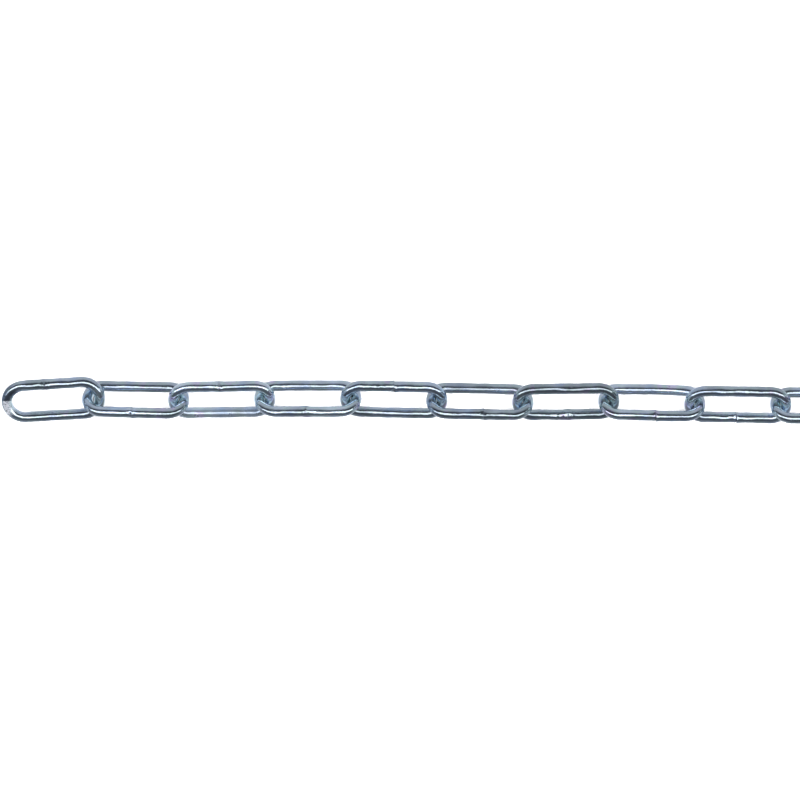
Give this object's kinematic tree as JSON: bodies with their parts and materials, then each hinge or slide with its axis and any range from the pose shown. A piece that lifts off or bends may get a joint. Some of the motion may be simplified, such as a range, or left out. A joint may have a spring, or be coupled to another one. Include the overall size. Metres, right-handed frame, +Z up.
{
  "type": "long-link steel chain",
  "caption": "Straight strand of welded long-link chain in bright zinc-plated steel wire, laid out on the floor with one free end.",
  "frame": {"origin": "on the floor, under the middle of the ground that the laid-out chain covers", "axes": "+X along the chain from its free end to its far end, +Y across it, +Z up"},
  "size_m": [0.9984, 0.0176, 0.0112],
  "materials": {
    "zinc_plated_steel": "bright bluish zinc plating, glossy, with faint drawing marks"
  },
  "bodies": {
    "link_01": {"link_01": "zinc_plated_steel"},
    "link_02": {"link_02": "zinc_plated_steel"},
    "link_03": {"link_03": "zinc_plated_steel"},
    "link_04": {"link_04": "zinc_plated_steel"},
    "link_05": {"link_05": "zinc_plated_steel"},
    "link_06": {"link_06": "zinc_plated_steel"},
    "link_07": {"link_07": "zinc_plated_steel"},
    "link_08": {"link_08": "zinc_plated_steel"},
    "link_09": {"link_09": "zinc_plated_steel"},
    "link_10": {"link_10": "zinc_plated_steel"},
    "link_11": {"link_11": "zinc_plated_steel"},
    "link_12": {"link_12": "zinc_plated_steel"},
    "link_13": {"link_13": "zinc_plated_steel"},
    "link_14": {"link_14": "zinc_plated_steel"},
    "link_15": {"link_15": "zinc_plated_steel"},
    "link_16": {"link_16": "zinc_plated_steel"},
    "link_17": {"link_17": "zinc_plated_steel"},
    "link_18": {"link_18": "zinc_plated_steel"},
    "link_19": {"link_19": "zinc_plated_steel"},
    "link_20": {"link_20": "zinc_plated_steel"},
    "link_21": {"link_21": "zinc_plated_steel"},
    "link_22": {"link_22": "zinc_plated_steel"},
    "link_23": {"link_23": "zinc_plated_steel"},
    "link_24": {"link_24": "zinc_plated_steel"},
    "link_25": {"link_25": "zinc_plated_steel"},
    "link_26": {"link_26": "zinc_plated_steel"},
    "link_27": {"link_27": "zinc_plated_steel"},
    "link_28": {"link_28": "zinc_plated_steel"},
    "link_29": {"link_29": "zinc_plated_steel"},
    "link_30": {"link_30": "zinc_plated_steel"},
    "link_31": {"link_31": "zinc_plated_steel"}
  },
  "joints": [
    {"name": "swing_15", "type": "hinge", "parent": "link_16", "child": "link_15", "pos_m": [-0.01914, -0.00197, 0.00559], "axis": [0, 0.8007, -0.599], "range_deg": [-90, 90]},
    {"name": "swing_14", "type": "hinge", "parent": "link_15", "child": "link_14", "pos_m": [-0.05114, -0.00197, 0.00559], "axis": [0, 0.8007, 0.599], "range_deg": [-90, 90]},
    {"name": "swing_13", "type": "hinge", "parent": "link_14", "child": "link_13", "pos_m": [-0.08314, -0.00197, 0.00559], "axis": [0, -0.8007, 0.599], "range_deg": [-90, 90]},
    {"name": "swing_12", "type": "hinge", "parent": "link_13", "child": "link_12", "pos_m": [-0.11514, -0.00197, 0.00559], "axis": [0, -0.8007, -0.599], "range_deg": [-90, 90]},
    {"name": "swing_11", "type": "hinge", "parent": "link_12", "child": "link_11", "pos_m": [-0.14714, -0.00197, 0.00559], "axis": [0, 0.8007, -0.599], "range_deg": [-90, 90]},
    {"name": "swing_10", "type": "hinge", "parent": "link_11", "child": "link_10", "pos_m": [-0.17914, -0.00197, 0.00559], "axis": [0, 0.8007, 0.599], "range_deg": [-90, 90]},
    {"name": "swing_09", "type": "hinge", "parent": "link_10", "child": "link_09", "pos_m": [-0.21114, -0.00197, 0.00559], "axis": [0, -0.8007, 0.599], "range_deg": [-90, 90]},
    {"name": "swing_08", "type": "hinge", "parent": "link_09", "child": "link_08", "pos_m": [-0.24313, -0.0013, 0.00559], "axis": [-0.0168, -0.8006, -0.599], "range_deg": [-90, 90]},
    {"name": "swing_07", "type": "hinge", "parent": "link_08", "child": "link_07", "pos_m": [-0.27512, -0.00046, 0.00559], "axis": [0.021, 0.8005, -0.599], "range_deg": [-90, 90]},
    {"name": "swing_06", "type": "hinge", "parent": "link_07", "child": "link_06", "pos_m": [-0.30712, -0.0008, 0.00559], "axis": [-0.0084, 0.8007, 0.599], "range_deg": [-90, 90]},
    {"name": "swing_05", "type": "hinge", "parent": "link_06", "child": "link_05", "pos_m": [-0.33911, -0.00013, 0.00559], "axis": [-0.0168, -0.8006, 0.599], "range_deg": [-90, 90]},
    {"name": "swing_04", "type": "hinge", "parent": "link_05", "child": "link_04", "pos_m": [-0.3711, 0.00054, 0.00559], "axis": [-0.0168, -0.8006, -0.599], "range_deg": [-90, 90]},
    {"name": "swing_03", "type": "hinge", "parent": "link_04", "child": "link_03", "pos_m": [-0.4031, 0.00049, 0.00559], "axis": [-0.0014, 0.8007, -0.599], "range_deg": [-90, 90]},
    {"name": "swing_02", "type": "hinge", "parent": "link_03", "child": "link_02", "pos_m": [-0.4351, -0.00013, 0.00559], "axis": [-0.0154, 0.8006, 0.599], "range_deg": [-90, 90]},
    {"name": "swing_01", "type": "hinge", "parent": "link_02", "child": "link_01", "pos_m": [-0.46852, 0.0009, 0.00574], "axis": [0.0109, 0.4163, -0.9091], "range_deg": [-90, 90]},
    {"name": "swing_17", "type": "hinge", "parent": "link_16", "child": "link_17", "pos_m": [0.01716, -0.00197, 0.00559], "axis": [0, 0.8007, -0.599], "range_deg": [-90, 90]},
    {"name": "swing_18", "type": "hinge", "parent": "link_17", "child": "link_18", "pos_m": [0.04916, -0.00197, 0.00559], "axis": [0, 0.8007, 0.599], "range_deg": [-90, 90]},
    {"name": "swing_19", "type": "hinge", "parent": "link_18", "child": "link_19", "pos_m": [0.08116, -0.00197, 0.00559], "axis": [0, -0.8007, 0.599], "range_deg": [-90, 90]},
    {"name": "swing_20", "type": "hinge", "parent": "link_19", "child": "link_20", "pos_m": [0.11316, -0.00197, 0.00559], "axis": [0, -0.8007, -0.599], "range_deg": [-90, 90]},
    {"name": "swing_21", "type": "hinge", "parent": "link_20", "child": "link_21", "pos_m": [0.14516, -0.00197, 0.00559], "axis": [0, 0.8007, -0.599], "range_deg": [-90, 90]},
    {"name": "swing_22", "type": "hinge", "parent": "link_21", "child": "link_22", "pos_m": [0.17716, -0.00197, 0.00559], "axis": [0, 0.8007, 0.599], "range_deg": [-90, 90]},
    {"name": "swing_23", "type": "hinge", "parent": "link_22", "child": "link_23", "pos_m": [0.20916, -0.00197, 0.00559], "axis": [0, -0.8007, 0.599], "range_deg": [-90, 90]},
    {"name": "swing_24", "type": "hinge", "parent": "link_23", "child": "link_24", "pos_m": [0.24116, -0.00197, 0.00559], "axis": [0, -0.8007, -0.599], "range_deg": [-90, 90]},
    {"name": "swing_25", "type": "hinge", "parent": "link_24", "child": "link_25", "pos_m": [0.27316, -0.00197, 0.00559], "axis": [0, 0.8007, -0.599], "range_deg": [-90, 90]},
    {"name": "swing_26", "type": "hinge", "parent": "link_25", "child": "link_26", "pos_m": [0.30516, -0.00197, 0.00559], "axis": [0, 0.8007, 0.599], "range_deg": [-90, 90]},
    {"name": "swing_27", "type": "hinge", "parent": "link_26", "child": "link_27", "pos_m": [0.33716, -0.00197, 0.00559], "axis": [0, -0.8007, 0.599], "range_deg": [-90, 90]},
    {"name": "swing_28", "type": "hinge", "parent": "link_27", "child": "link_28", "pos_m": [0.36916, -0.00197, 0.00559], "axis": [0, -0.8007, -0.599], "range_deg": [-90, 90]},
    {"name": "swing_29", "type": "hinge", "parent": "link_28", "child": "link_29", "pos_m": [0.40116, -0.00197, 0.00559], "axis": [0, 0.8007, -0.599], "range_deg": [-90, 90]},
    {"name": "swing_30", "type": "hinge", "parent": "link_29", "child": "link_30", "pos_m": [0.43316, -0.00197, 0.00559], "axis": [0, 0.8007, 0.599], "range_deg": [-90, 90]},
    {"name": "swing_31", "type": "hinge", "parent": "link_30", "child": "link_31", "pos_m": [0.46516, -0.00197, 0.00559], "axis": [0, -0.8007, 0.599], "range_deg": [-90, 90]}
  ]
}
